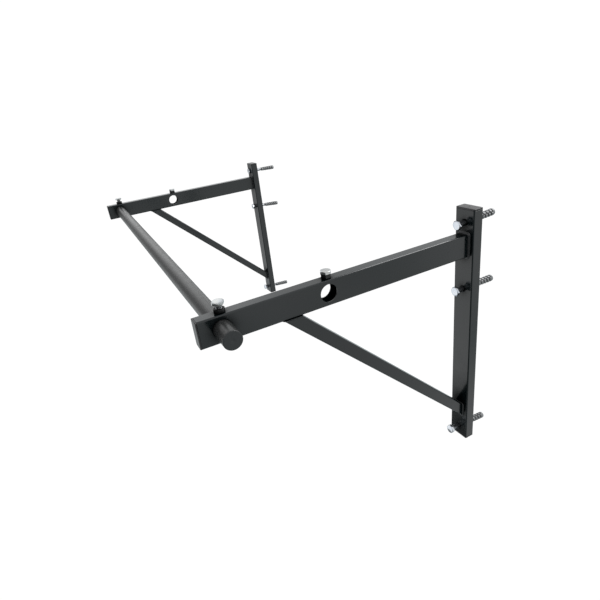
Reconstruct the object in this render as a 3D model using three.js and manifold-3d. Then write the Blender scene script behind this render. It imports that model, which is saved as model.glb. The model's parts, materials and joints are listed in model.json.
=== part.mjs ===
// Wall-mounted kip bar: two welded tube brackets carrying one round bar.
//
// Frame: millimetres, +Z up, +Y into the wall, +X to the right for someone facing the wall.
// Origin: on the back face of the right-hand wall post, at the height of the bar's axis.
// Each bracket is a vertical wall post, a horizontal support arm and a diagonal brace, welded
// together. The bar passes through the front pair of holes in the arms and is clamped by bolts
// that run through weld nuts on top of the arms. A second pair of holes, with its own clamp
// bolts, takes the bar nearer the wall. Three lag screws go through each post into wall plugs.

import * as THREE from 'three';
import { mergeVertices } from 'three/addons/utils/BufferGeometryUtils.js';
import Module from 'manifold-3d';

const QUARTER_TURN = Math.PI / 2;
const radians = (degrees) => degrees * Math.PI / 180;

// ---------------------------------------------------------------- driving dimensions
const BRACKET_SPACING = 1173.6;     // centre to centre of the two arms
const GAP = 0.2;                    // clearance left between pieces that meet
const OVERLAP = 0.5;                // shanks run this far into their heads

// rectangular tube, common to the post and the arm
const TUBE_LONG = 50;
const TUBE_SHORT = 25;
const TUBE_WALL = 2;
const TUBE_CORNER = 3;              // outside corner radius
const TUBE_INNER_CORNER = 1.3;

// wall post: 50 across X, 25 deep in Y, its back face at Y = 0
const POST_TOP = 79.6;
const POST_BOTTOM = -507.2;
const POST_FRONT = -TUBE_SHORT;
const POST_MIDDLE = POST_FRONT / 2;

// support arm: 25 across X, 50 high, centred on the bar's axis
const ARM_FRONT = -610.2;           // outer face of the end cap
const ARM_TOP = TUBE_LONG / 2;
const ARM_BOTTOM = -TUBE_LONG / 2;

// diagonal brace: square tube, from the arm's underside down to the post
const BRACE_SIZE = 25;
const BRACE_ANGLE = radians(43.86); // below horizontal
const BRACE_TOP_Y = -441.7;         // centreline where it meets the arm's underside
const BRACE_RUN = POST_FRONT - BRACE_TOP_Y;
const BRACE_LENGTH = BRACE_RUN / Math.cos(BRACE_ANGLE);
const BRACE_BOTTOM_Z = ARM_BOTTOM - BRACE_RUN * Math.tan(BRACE_ANGLE);
const BRACE_OVERRUN = 40;           // spare length at each end before trimming

// bar and the holes it can sit in
const BAR_R = 33.7 / 2;
const BAR_WALL = 3.2;
const BAR_LENGTH = 1294;            // over the end plugs
const BAR_HOLE_R = 17.1;
const FRONT_HOLE_Y = -567.5;
const REAR_HOLE_Y = -365.5;

// clamp bolts (M12 class) and their weld nuts
const BOLT_R = 5.95;
const BOLT_TIP_CHAMFER = 1.1;
const FRONT_BOLT_LENGTH = 22.3;     // under the head
const REAR_BOLT_LENGTH = 16.5;      // short enough to leave the spare holes clear
const BOLT_AF = 19;                 // across flats
const BOLT_HEAD = 6.6;
const BOLT_HOLE_R = 6.5;
const NUT_AF = 17.6;
const NUT_HEIGHT = 8;
const NUT_BORE_R = 6.2;
const CLAMP_OFFSET_Y = 3.4;         // bolt line sits a little to the wall side of the hole centre
const FRONT_BOLT_TIP_GAP = 0.3;     // above the bar's crown
const REAR_BOLT_HEAD_GAP = 0.9;     // between head and nut, screwed nearly home
const FRONT_BOLT_Z = BAR_R + FRONT_BOLT_TIP_GAP + FRONT_BOLT_LENGTH;  // underside of the head
const REAR_BOLT_Z = ARM_TOP + NUT_HEIGHT + REAR_BOLT_HEAD_GAP;

// lag screws (12 mm class)
const LAG_Z = { top: 49, middle: -101.5, bottom: -482.5 };
const LAG_HOLE_R = 7.2;
const LAG_SHANK_R = 5.9;
const LAG_THREAD_R = 5.9;
const LAG_SHANK_LENGTH = 45;        // plain part under the head
const LAG_LENGTH = 90;              // under the head
const LAG_AF = 19;
const LAG_HEAD = 8;

// wall plugs, one to a screw
const WALL_PLUG_LENGTH = 55;
const WALL_PLUG_MOUTH_R = 6.9;
const WALL_PLUG_R = 7.9;            // near its far end
const WALL_PLUG_BORE_R = 6.25;      // open at both ends, so the screw can pass through

// Each screw lies loose in its holes and leans a little, and its plug leans with it.
// headY: underside of the head; plugY: mouth of the plug, clear of the post's back face;
// tilt: degrees, point upwards positive, about the middle of the post's depth.
const RIGHT_FIXINGS = [
  { place: 'top', headY: -40.5, plugY: 1, tilt: 4 },
  { place: 'middle', headY: -41.5, plugY: 6.5, tilt: 0.5 },
  { place: 'bottom', headY: -47, plugY: 1.5, tilt: -4 },
];
const LEFT_FIXINGS = [
  { place: 'top', headY: -26.2, plugY: 27, tilt: -1.5 },
  { place: 'middle', headY: -32, plugY: 23, tilt: -4 },
  { place: 'bottom', headY: -36, plugY: 16, tilt: -4 },
];

// tube end caps
const POST_CAP_FLANGE = 4;
const POST_CAP_EDGE = 1.2;          // rounding of the flange's outer edge
const ARM_CAP_FLANGE = 3;
const ARM_CAP_EDGE = 0.8;
const CAP_PLUG_DEPTH = 14;
const CAP_PLUG_WALL = 1.8;
const CAP_PLUG_CORNER = 1.1;
const CAP_HOLLOW_CORNER = 0.6;

// plugs in the bar's ends
const BAR_PLUG_FLANGE = 2.2;
const BAR_PLUG_DEPTH = 18;
const BAR_PLUG_WALL = 2;
const BAR_PLUG_CLEARANCE = 0.3;     // all round, inside the bar
const BAR_PLUG_EDGE = 0.8;          // chamfer on the flange

// weld beads
const ARM_WELD_LEG = 4.5;           // round the arm, at the post
const ARM_WELD_FLATNESS = 0.62;     // its reach along the arm is this part of its reach on the post
const ARM_WELD_OFFSET = 0.04;       // moved off the post's front face
const BRACE_WELD_LEG = 2.4;         // round the brace, at both ends
const WELD_CORE = 0.4;              // straight part of the bead's extrusion, between its bevels

// ---------------------------------------------------------------- solid helpers
const wasm = await Module();
wasm.setup();

const MERGE_TOLERANCE = 1e-4;

// closed BufferGeometry -> Manifold; drops collapsed triangles and makes the faces point out
function toSolid(geometry) {
  const bare = geometry.clone();
  bare.deleteAttribute('normal');
  bare.deleteAttribute('uv');
  const merged = mergeVertices(bare, MERGE_TOLERANCE);
  const { position } = merged.attributes;
  const corners = merged.index.array;
  const corner = (i) => new THREE.Vector3().fromBufferAttribute(position, i);
  const triangles = [];
  let volume = 0;  // six times the signed volume
  for (let i = 0; i < corners.length; i += 3) {
    const [first, second, third] = corners.slice(i, i + 3);
    if (first === second || second === third || third === first) continue;
    triangles.push(first, second, third);
    volume += corner(first).dot(corner(second).cross(corner(third)));
  }
  if (volume < 0) {
    for (let i = 0; i < triangles.length; i += 3) {
      [triangles[i + 1], triangles[i + 2]] = [triangles[i + 2], triangles[i + 1]];
    }
  }
  return new wasm.Manifold(new wasm.Mesh({
    numProp: 3,
    vertProperties: new Float32Array(position.array),
    triVerts: new Uint32Array(triangles),
  }));
}

function toGeometry(manifold) {
  const mesh = manifold.getMesh();
  const geometry = new THREE.BufferGeometry();
  const positions = new Float32Array(mesh.vertProperties);
  geometry.setAttribute('position', new THREE.BufferAttribute(positions, 3));
  geometry.setIndex(new THREE.BufferAttribute(new Uint32Array(mesh.triVerts), 1));
  geometry.computeVertexNormals();
  return geometry;
}

// geometry of one closed geometry less others
function cut(body, ...tools) {
  return toGeometry(tools.reduce((rest, tool) => rest.subtract(toSolid(tool)), toSolid(body)));
}

// ---------------------------------------------------------------- shape helpers
const CORNER_SEGMENTS = 3;

// counter-clockwise rounded rectangle, stretched in y
function outline(width, height, radius, stretch = 1) {
  const x = width / 2 - radius;
  const y = height / 2 - radius;
  const arcs = [[x, y, 0], [-x, y, 90], [-x, -y, 180], [x, -y, 270]];  // centre, start angle
  const points = [];
  for (const [centreX, centreY, start] of arcs) {
    for (let i = 0; i <= CORNER_SEGMENTS; i++) {
      const angle = radians(start + 90 * i / CORNER_SEGMENTS);
      points.push(new THREE.Vector2(
        centreX + radius * Math.cos(angle),
        (centreY + radius * Math.sin(angle)) * stretch));
    }
  }
  return points;
}

function extruded(shape, depth, options = {}) {
  return new THREE.ExtrudeGeometry(shape, { depth, bevelEnabled: false, steps: 1, ...options });
}

// extrusion whose bevel adds its size to the outline and to both ends
function bevelled(points, depth, bevel, bevelSegments) {
  return extruded(new THREE.Shape(points), depth,
    { bevelEnabled: true, bevelThickness: bevel, bevelSize: bevel, bevelSegments });
}

// rounded tube along +Z, starting at Z = 0
function tube(width, height, length) {
  const shape = new THREE.Shape(outline(width, height, TUBE_CORNER));
  const inside = outline(width - 2 * TUBE_WALL, height - 2 * TUBE_WALL, TUBE_INNER_CORNER);
  shape.holes.push(new THREE.Path(inside.reverse()));
  return extruded(shape, length);
}

// solid rounded prism along +Z, starting at Z = 0
function prism(width, height, radius, length) {
  return extruded(new THREE.Shape(outline(width, height, radius)), length);
}

// cylinder along +Z from bottom to top
function rod(radius, bottom, top, segments = 20) {
  return new THREE.CylinderGeometry(radius, radius, top - bottom, segments)
    .rotateX(QUARTER_TURN)
    .translate(0, 0, (bottom + top) / 2);
}

function boxBetween([x0, y0, z0], [x1, y1, z1]) {
  return new THREE.BoxGeometry(x1 - x0, y1 - y0, z1 - z0)
    .translate((x0 + x1) / 2, (y0 + y1) / 2, (z0 + z1) / 2);
}

// part of a small piece that lies above a height
function trimBelow(geometry, z) {
  const reach = 60;  // past the piece on every side
  const keep = boxBetween([-reach, -reach, z], [reach, reach, reach]);
  return toSolid(geometry).intersect(toSolid(keep));
}

// solid of revolution about +Z from [radius, z] pairs
function turned(profile, segments = 16) {
  const points = profile.map(([radius, z]) => new THREE.Vector2(radius, z));
  return new THREE.LatheGeometry(points, segments).rotateX(QUARTER_TURN);
}

// hexagonal prism from z = 0 to z = height with its top corners chamfered
function hexagon(acrossFlats, height) {
  const flatR = acrossFlats / 2;
  const cornerR = acrossFlats / Math.sqrt(3);
  const body = new THREE.CylinderGeometry(cornerR, cornerR, height, 6)
    .rotateX(QUARTER_TURN)
    .translate(0, 0, height / 2);
  const envelopeR = cornerR + 0.01;  // just clears the corners
  const topR = flatR - 0.3;          // the chamfer bites a little into the flats
  const chamfer = (cornerR - flatR) * Math.tan(Math.PI / 6) + 0.15;
  const envelope = turned([
    [0, 0], [envelopeR, 0], [envelopeR, height - chamfer], [topR, height], [0, height],
  ], 24);
  return toSolid(body).intersect(toSolid(envelope));
}

// ---------------------------------------------------------------- tubes, in bracket coordinates
function wallPost() {
  const length = POST_TOP - POST_BOTTOM - 2 * POST_CAP_FLANGE - 2 * GAP;
  const body = tube(TUBE_LONG, TUBE_SHORT, length)
    .translate(0, POST_MIDDLE, POST_BOTTOM + POST_CAP_FLANGE + GAP);
  const holes = Object.values(LAG_Z).map((z) => rod(LAG_HOLE_R, 0, 60)
    .rotateX(QUARTER_TURN)
    .translate(0, 20, z));
  return cut(body, ...holes);
}

function supportArm() {
  const length = POST_FRONT - GAP - (ARM_FRONT + ARM_CAP_FLANGE + GAP);
  const body = tube(TUBE_SHORT, TUBE_LONG, length)
    .rotateX(QUARTER_TURN)
    .translate(0, POST_FRONT - GAP, 0);
  const holes = [FRONT_HOLE_Y, REAR_HOLE_Y].flatMap((y) => [
    rod(BAR_HOLE_R, -30, 30, 40).rotateY(QUARTER_TURN).translate(0, y, 0),
    // through the top wall only
    rod(BOLT_HOLE_R, 15, 35, 16).translate(0, y + CLAMP_OFFSET_Y, 0),
  ]);
  return cut(body, ...holes);
}

// turns +Z to the brace's direction, down and towards the wall, with the overrun above the arm's
// underside
function placeBrace(geometry) {
  return geometry
    .translate(0, 0, -BRACE_OVERRUN)
    .rotateX(-(QUARTER_TURN + BRACE_ANGLE))
    .translate(0, BRACE_TOP_Y, ARM_BOTTOM);
}

function diagonalBrace() {
  const body = placeBrace(tube(BRACE_SIZE, BRACE_SIZE, BRACE_LENGTH + 2 * BRACE_OVERRUN));
  // below the arm and in front of the post
  const keep = boxBetween([-40, -900, -900], [40, POST_FRONT - GAP, ARM_BOTTOM - GAP]);
  return toGeometry(toSolid(body).intersect(toSolid(keep)));
}

// ---------------------------------------------------------------- tube end caps
// rounded flange from z = 0 up to z = flange, hollow plug hanging below it
function tubeCap(width, height, flange, edge) {
  const spare = 5;  // the lower bevel is trimmed off with it
  const flangeOutline = outline(width - 2 * edge, height - 2 * edge, TUBE_CORNER - edge);
  const head = bevelled(flangeOutline, flange - edge + spare, edge, 3).translate(0, 0, -spare);
  const inset = 2 * TUBE_WALL + 2 * GAP;
  const plugWidth = width - inset;
  const plugHeight = height - inset;
  const floor = 1;  // plug runs this far into the flange; its hollow stops this far below
  const plug = prism(plugWidth, plugHeight, CAP_PLUG_CORNER, CAP_PLUG_DEPTH + floor)
    .translate(0, 0, -CAP_PLUG_DEPTH);
  const hollow = prism(plugWidth - 2 * CAP_PLUG_WALL, plugHeight - 2 * CAP_PLUG_WALL,
    CAP_HOLLOW_CORNER, CAP_PLUG_DEPTH)
    .translate(0, 0, -CAP_PLUG_DEPTH - floor);
  return toGeometry(trimBelow(head, 0).add(toSolid(plug)).subtract(toSolid(hollow)));
}

const postCap = () => tubeCap(TUBE_LONG, TUBE_SHORT, POST_CAP_FLANGE, POST_CAP_EDGE);

const postTopCap = () => postCap().translate(0, POST_MIDDLE, POST_TOP - POST_CAP_FLANGE);

function postBottomCap() {
  return postCap()
    .rotateX(Math.PI)
    .translate(0, POST_MIDDLE, POST_BOTTOM + POST_CAP_FLANGE);
}

function armEndCap() {
  return tubeCap(TUBE_SHORT, TUBE_LONG, ARM_CAP_FLANGE, ARM_CAP_EDGE)
    .rotateX(QUARTER_TURN)
    .translate(0, ARM_FRONT + ARM_CAP_FLANGE, 0);
}

// ---------------------------------------------------------------- welds
// bead standing on z = 0 round a tube's outline stretched in y, leaning along y by slant per
// unit height; the tube itself is still to be cut out of it
function bead({ width, height, leg, stretch = 1, slant = 0 }) {
  const body = bevelled(outline(width, height, TUBE_CORNER, stretch), WELD_CORE, leg, 2);
  body.applyMatrix4(new THREE.Matrix4().set(
    1, 0, 0, 0,
    0, 1, slant, 0,
    0, 0, 1, 0,
    0, 0, 0, 1));
  return toGeometry(trimBelow(body, GAP / 2));
}

// room for a tube and its clearance
function tubeCutter(width, height, length) {
  return prism(width + GAP, height + GAP, TUBE_CORNER + GAP / 2, length);
}

function armWeld() {
  const body = bead({ width: TUBE_SHORT, height: TUBE_LONG, leg: ARM_WELD_LEG })
    .rotateX(QUARTER_TURN)
    .scale(1, ARM_WELD_FLATNESS, 1)
    .translate(0, POST_FRONT - ARM_WELD_OFFSET, 0);
  return cut(body, tubeCutter(TUBE_SHORT, TUBE_LONG, 60).rotateX(QUARTER_TURN));
}

function braceBead(stretch, slant) {
  return bead({ width: BRACE_SIZE, height: BRACE_SIZE, leg: BRACE_WELD_LEG, stretch, slant });
}

function cutBrace(weld) {
  const length = BRACE_LENGTH + 2 * BRACE_OVERRUN;
  return cut(weld, placeBrace(tubeCutter(BRACE_SIZE, BRACE_SIZE, length)));
}

// stands on the arm's underside and grows downwards
function braceUpperWeld() {
  return cutBrace(braceBead(1 / Math.sin(BRACE_ANGLE), -1 / Math.tan(BRACE_ANGLE))
    .rotateX(Math.PI)
    .translate(0, BRACE_TOP_Y, ARM_BOTTOM));
}

// stands on the post's front face and grows away from the wall
function braceLowerWeld() {
  return cutBrace(braceBead(1 / Math.cos(BRACE_ANGLE), Math.tan(BRACE_ANGLE))
    .rotateX(QUARTER_TURN)
    .translate(0, POST_FRONT, BRACE_BOTTOM_Z));
}

// ---------------------------------------------------------------- fasteners
function weldNut(holeY) {
  const bore = toSolid(rod(NUT_BORE_R, -5, 20));
  return toGeometry(hexagon(NUT_AF, NUT_HEIGHT).subtract(bore))
    .translate(0, holeY + CLAMP_OFFSET_Y, ARM_TOP + GAP / 2);
}

// hexagon head above underHeadZ, shank hanging below
function clampBolt(holeY, underHeadZ, length) {
  const shank = turned([
    [0, -length], [BOLT_R - BOLT_TIP_CHAMFER, -length], [BOLT_R, -length + BOLT_TIP_CHAMFER],
    [BOLT_R, OVERLAP], [0, OVERLAP],
  ]);
  return toGeometry(hexagon(BOLT_AF, BOLT_HEAD).add(toSolid(shank)))
    .translate(0, holeY + CLAMP_OFFSET_Y, underHeadZ);
}

// takes a piece whose local +Z points out of the wall to its leaning place, its z = 0 at startY
function leaning(geometry, z, startY, tilt) {
  return geometry
    .rotateX(QUARTER_TURN)
    .translate(0, startY - POST_MIDDLE, 0)
    .rotateX(radians(tilt))
    .translate(0, POST_MIDDLE, z);
}

function lagScrew({ place, headY, tilt }) {
  const tip = -LAG_LENGTH;
  const shank = turned([
    [0, OVERLAP], [LAG_SHANK_R, OVERLAP], [LAG_SHANK_R, -LAG_SHANK_LENGTH],
    [LAG_THREAD_R, -LAG_SHANK_LENGTH - 2], [LAG_THREAD_R, tip + 10],
    [LAG_THREAD_R - 1.2, tip + 6], [LAG_THREAD_R - 2.8, tip + 2.5], [1.2, tip], [0, tip],
  ]);
  const body = toGeometry(hexagon(LAG_AF, LAG_HEAD).add(toSolid(shank)));
  return leaning(body, LAG_Z[place], headY, tilt);
}

// sleeve with its mouth at plugY, swelling towards a blunt far end
function wallPlug({ place, plugY, tilt }) {
  const end = -WALL_PLUG_LENGTH;
  const sleeve = turned([
    [WALL_PLUG_BORE_R, 0], [WALL_PLUG_MOUTH_R, 0], [WALL_PLUG_R, end + 18],
    [WALL_PLUG_R, end + 5], [WALL_PLUG_R - 0.5, end + 1.6], [WALL_PLUG_R - 1.1, end],
    [WALL_PLUG_BORE_R, end], [WALL_PLUG_BORE_R, 0],
  ], 18);
  return leaning(toGeometry(toSolid(sleeve)), LAG_Z[place], plugY, tilt);
}

// ---------------------------------------------------------------- bar, along X about its middle
function barTube() {
  const length = BAR_LENGTH - 2 * BAR_PLUG_FLANGE - 2 * GAP;
  const shape = new THREE.Shape();
  shape.absarc(0, 0, BAR_R, 0, 2 * Math.PI, false);
  const inside = new THREE.Path();
  inside.absarc(0, 0, BAR_R - BAR_WALL, 0, 2 * Math.PI, true);
  shape.holes.push(inside);
  const body = extruded(shape, length, { curveSegments: 24 })
    .translate(0, 0, -length / 2)
    .rotateY(QUARTER_TURN);
  return toGeometry(toSolid(body));
}

// flange outwards along +X, its inner face at x = 0, and a hollow plug behind it
function barPlug() {
  const plugR = BAR_R - BAR_WALL - BAR_PLUG_CLEARANCE;
  const hollowR = plugR - BAR_PLUG_WALL;
  const hollowEnd = 0.2;  // just inside the flange
  const body = turned([
    [0, hollowEnd], [hollowR, hollowEnd], [hollowR, -BAR_PLUG_DEPTH],
    [plugR - 0.8, -BAR_PLUG_DEPTH], [plugR, -BAR_PLUG_DEPTH + 2], [plugR, 0],
    [BAR_R, 0], [BAR_R, BAR_PLUG_FLANGE - BAR_PLUG_EDGE],
    [BAR_R - BAR_PLUG_EDGE, BAR_PLUG_FLANGE], [0, BAR_PLUG_FLANGE],
  ], 36);
  return toGeometry(toSolid(body.rotateY(QUARTER_TURN)));
}

// ---------------------------------------------------------------- materials
const FINISHES = {
  frameCoat: { color: 0x34393b, roughness: 0.42, metalness: 0 },
  weldCoat: { color: 0x2b2f31, roughness: 0.5, metalness: 0 },
  barCoat: { color: 0x6b6e6f, roughness: 0.5, metalness: 0.1 },
  zinc: { color: 0xd3d7dc, roughness: 0.28, metalness: 1 },
  capPlastic: { color: 0x3b3f41, roughness: 0.6, metalness: 0 },
  nylon: { color: 0x55595b, roughness: 0.5, metalness: 0 },
};

function piece(name, geometry, finish) {
  const mesh = new THREE.Mesh(geometry, new THREE.MeshStandardMaterial(FINISHES[finish]));
  mesh.name = name;
  return mesh;
}

// ---------------------------------------------------------------- assembly
function bracket(side, fixings) {
  const group = new THREE.Group();
  const add = (name, geometry, finish) => group.add(piece(`${side}_${name}`, geometry, finish));
  add('wall_post', wallPost(), 'frameCoat');
  add('support_arm', supportArm(), 'frameCoat');
  add('diagonal_brace', diagonalBrace(), 'frameCoat');
  add('arm_weld', armWeld(), 'weldCoat');
  add('brace_upper_weld', braceUpperWeld(), 'weldCoat');
  add('brace_lower_weld', braceLowerWeld(), 'weldCoat');
  add('post_top_cap', postTopCap(), 'capPlastic');
  add('post_bottom_cap', postBottomCap(), 'capPlastic');
  add('arm_end_cap', armEndCap(), 'capPlastic');
  add('front_weld_nut', weldNut(FRONT_HOLE_Y), 'weldCoat');
  add('rear_weld_nut', weldNut(REAR_HOLE_Y), 'weldCoat');
  add('front_clamp_bolt', clampBolt(FRONT_HOLE_Y, FRONT_BOLT_Z, FRONT_BOLT_LENGTH), 'zinc');
  add('rear_clamp_bolt', clampBolt(REAR_HOLE_Y, REAR_BOLT_Z, REAR_BOLT_LENGTH), 'zinc');
  for (const fixing of fixings) {
    add(`${fixing.place}_lag_screw`, lagScrew(fixing), 'zinc');
    add(`${fixing.place}_wall_plug`, wallPlug(fixing), 'nylon');
  }
  return group;
}

function pluggedBar() {
  const plugX = BAR_LENGTH / 2 - BAR_PLUG_FLANGE;
  const rightPlug = piece('bar_end_plug_right', barPlug(), 'capPlastic');
  rightPlug.position.x = plugX;
  const leftPlug = piece('bar_end_plug_left', barPlug(), 'capPlastic');
  leftPlug.position.x = -plugX;
  leftPlug.rotation.z = Math.PI;
  const group = new THREE.Group();
  group.add(piece('bar_tube', barTube(), 'barCoat'), rightPlug, leftPlug);
  return group;
}

const right = bracket('right', RIGHT_FIXINGS);
const left = bracket('left', LEFT_FIXINGS);
left.position.x = -BRACKET_SPACING;
const bar = pluggedBar();
bar.position.set(-BRACKET_SPACING / 2, FRONT_HOLE_Y, 0);

const kipBar = new THREE.Group();
kipBar.add(right, left, bar);

export default kipBar;
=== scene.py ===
"""A bar on two wall brackets, each a post, a support arm and a diagonal brace.

The posts stand along Z with their backs on the wall plane y = 0. The arms reach out
towards -Y, centred on z = 0, and the bar lies along X. "Right" is the +X side.
Pieces are modelled in millimetres and scaled to metres when finished.
"""

import json
import math

import bmesh
import bpy
from mathutils import Matrix, Vector, noise

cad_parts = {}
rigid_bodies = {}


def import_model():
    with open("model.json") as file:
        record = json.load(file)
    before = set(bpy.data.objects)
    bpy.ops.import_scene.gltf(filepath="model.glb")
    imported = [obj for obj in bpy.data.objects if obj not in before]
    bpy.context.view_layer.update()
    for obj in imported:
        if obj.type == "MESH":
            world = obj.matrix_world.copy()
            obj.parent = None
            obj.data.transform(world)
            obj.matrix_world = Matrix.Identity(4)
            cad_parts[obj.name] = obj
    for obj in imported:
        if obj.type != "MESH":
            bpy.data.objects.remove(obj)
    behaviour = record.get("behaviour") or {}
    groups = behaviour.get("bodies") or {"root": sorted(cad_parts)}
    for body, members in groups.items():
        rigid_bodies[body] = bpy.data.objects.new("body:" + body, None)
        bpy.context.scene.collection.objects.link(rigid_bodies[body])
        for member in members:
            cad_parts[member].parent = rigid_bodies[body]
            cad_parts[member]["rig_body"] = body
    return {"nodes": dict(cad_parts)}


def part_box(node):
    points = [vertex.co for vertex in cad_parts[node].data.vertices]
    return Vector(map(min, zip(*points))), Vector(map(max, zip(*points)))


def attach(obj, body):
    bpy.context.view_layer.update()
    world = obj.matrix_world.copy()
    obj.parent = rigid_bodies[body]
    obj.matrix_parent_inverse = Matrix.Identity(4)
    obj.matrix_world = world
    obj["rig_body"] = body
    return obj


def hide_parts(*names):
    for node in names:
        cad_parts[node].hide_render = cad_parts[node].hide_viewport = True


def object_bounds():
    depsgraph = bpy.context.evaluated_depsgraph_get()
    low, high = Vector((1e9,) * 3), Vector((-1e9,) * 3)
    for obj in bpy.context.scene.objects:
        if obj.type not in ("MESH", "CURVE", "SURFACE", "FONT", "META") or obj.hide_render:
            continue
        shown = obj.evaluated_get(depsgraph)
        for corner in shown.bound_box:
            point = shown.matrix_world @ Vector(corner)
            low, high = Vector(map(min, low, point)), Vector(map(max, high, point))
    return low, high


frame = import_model()
cad_low, cad_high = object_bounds()

MM = 0.001

# ------------------------------------------------------------------ dimensions, in millimetres
TUBE_LONG, TUBE_SHORT = 50, 25      # section of post and arm; the brace is square, TUBE_SHORT
TUBE_WALL = 2.0
TUBE_CORNER = 3.0
TUBE_INNER_CORNER = TUBE_CORNER - TUBE_WALL + 0.3
GAP = 0.2
POST_Y = -TUBE_SHORT / 2            # the post's axis
POST_FRONT = -TUBE_SHORT
ARM_TOP, ARM_UNDERSIDE = TUBE_LONG / 2, -TUBE_LONG / 2

BRACE_ANGLE = math.radians(43.86)   # below the horizontal
BRACE_TOP_Y = -441.7                # where its axis meets the arm's underside
BRACE_BOTTOM_Z = ARM_UNDERSIDE + (BRACE_TOP_Y - POST_FRONT) * math.tan(BRACE_ANGLE)

CROSS_HOLE_Y = {"front": -567.5, "rear": -365.5}
CROSS_HOLE_RADIUS = 17.1            # sideways through the arm
BOLT_HOLE_RADIUS = 6.5              # in the arm's top
LAG_HOLE_RADIUS = 7.2

LAG_Z = {"top": 49.0, "middle": -101.5, "bottom": -482.5}
# y under the lag screw's head, y of the wall plug's mouth, tilt in degrees
LAG_SET = {
    "right": {"top": (-40.5, 1.0, 4.0), "middle": (-41.5, 6.5, 0.5), "bottom": (-47.0, 1.5, -4.0)},
    "left": {"top": (-26.2, 27.0, -1.5), "middle": (-32.0, 23.0, -4.0),
             "bottom": (-36.0, 16.0, -4.0)}}

HEAD_FLATS = 19.0                   # across the flats of both kinds of bolt head
CLAMP_HEAD, CLAMP_PITCH = 6.6, 1.75
CLAMP_LENGTH = {"front": 22.3, "rear": 16.5}
LAG_HEAD, LAG_PITCH, LAG_LENGTH, LAG_SHANK = 8.0, 4.5, 90.0, 44.0
THREAD_TURN = 24                    # points round a thread, and rows in one pitch
HEX_POINTS = 3 * THREAD_TURN

POST_CAP = dict(width=TUBE_LONG, depth=TUBE_SHORT, flange=4.0, edge=1.2, crown=0.3)
ARM_CAP = dict(width=TUBE_SHORT, depth=TUBE_LONG, flange=3.0, edge=0.8, crown=0.35)
CAP_PLUG_DEPTH = 14.0

BAR_WALL = 3.2
BAR_POINTS = 96
BAR_PLUG_HEAD = 2.2


def node_box(name):
    low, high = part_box(name)
    return [v / MM for v in low], [v / MM for v in high]


def box_middle(name):
    return [(a + b) / 2 for a, b in zip(*node_box(name))]


# ------------------------------------------------------------------ outlines and meshes
def rounded_rect(width, depth, corner, steps=8):
    """Outline in x and y, counter-clockwise, with steps + 1 points in each corner."""
    points = []
    across, along = width / 2 - corner, depth / 2 - corner
    for x, y, start in ((across, along, 0), (-across, along, 90),
                        (-across, -along, 180), (across, -along, 270)):
        for i in range(steps + 1):
            angle = math.radians(start + 90 * i / steps)
            points.append((x + corner * math.cos(angle), y + corner * math.sin(angle)))
    return points


def inset_rect(width, depth, corner, inset):
    return rounded_rect(width - 2 * inset, depth - 2 * inset, max(corner - inset, 0.05))


def level(outline, z):
    return [(x, y, z) for x, y in outline]


def ring(radius, z, points, phase=0.0):
    angles = [2 * math.pi * (i + phase) / points for i in range(points)]
    return [(radius * math.cos(a), radius * math.sin(a), z) for a in angles]


def strip(mesh, first, second, material=0):
    """One band of quads between two rings of equal count."""
    count = len(first)
    for j in range(count):
        k = (j + 1) % count
        face = mesh.faces.new((first[j], first[k], second[k], second[j]))
        face.material_index = material


def loft(mesh, loops, closed=False, cap_first=True, cap_last=True):
    rings = [[mesh.verts.new(point) for point in loop] for loop in loops]
    for first, second in zip(rings, rings[1:]):
        strip(mesh, first, second)
    if closed:
        strip(mesh, rings[-1], rings[0])
        return rings
    if cap_first:
        mesh.faces.new(list(reversed(rings[0])))
    if cap_last:
        mesh.faces.new(rings[-1])
    return rings


def lofted(loops, closed=False):
    mesh = bmesh.new()
    loft(mesh, loops, closed)
    return mesh


def shift(x, y, z):
    return Matrix.Translation((x, y, z))


def turn(axis, degrees):
    return Matrix.Rotation(math.radians(degrees), 4, axis)


def placed(mesh, matrix):
    bmesh.ops.transform(mesh, matrix=matrix, verts=mesh.verts[:])
    return mesh


def to_object(mesh, name):
    data = bpy.data.meshes.new(name)
    mesh.to_mesh(data)
    mesh.free()
    piece = bpy.data.objects.new(name, data)
    bpy.context.scene.collection.objects.link(piece)
    return piece


def temp_object(mesh):
    bmesh.ops.recalc_face_normals(mesh, faces=mesh.faces[:])
    return to_object(mesh, "temp")


def drop(piece):
    data = piece.data
    bpy.data.objects.remove(piece)
    bpy.data.meshes.remove(data)


def cylinder(axis, centre, radius, half_length):
    points = 64 if radius > 10 else 40
    mesh = lofted([ring(radius, z, points, phase=0.5) for z in (-half_length, half_length)])
    to_axis = {"x": turn("Y", 90), "y": turn("X", 90), "z": Matrix.Identity(4)}[axis]
    return placed(mesh, shift(*centre) @ to_axis)


def on_hole(edge, axis, centre, radius):
    i, j = {"x": (1, 2), "y": (0, 2), "z": (0, 1)}[axis]
    return all(abs(math.hypot(v.co[i] - centre[i], v.co[j] - centre[j]) - radius) < 0.12
               for v in edge.verts)


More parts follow.
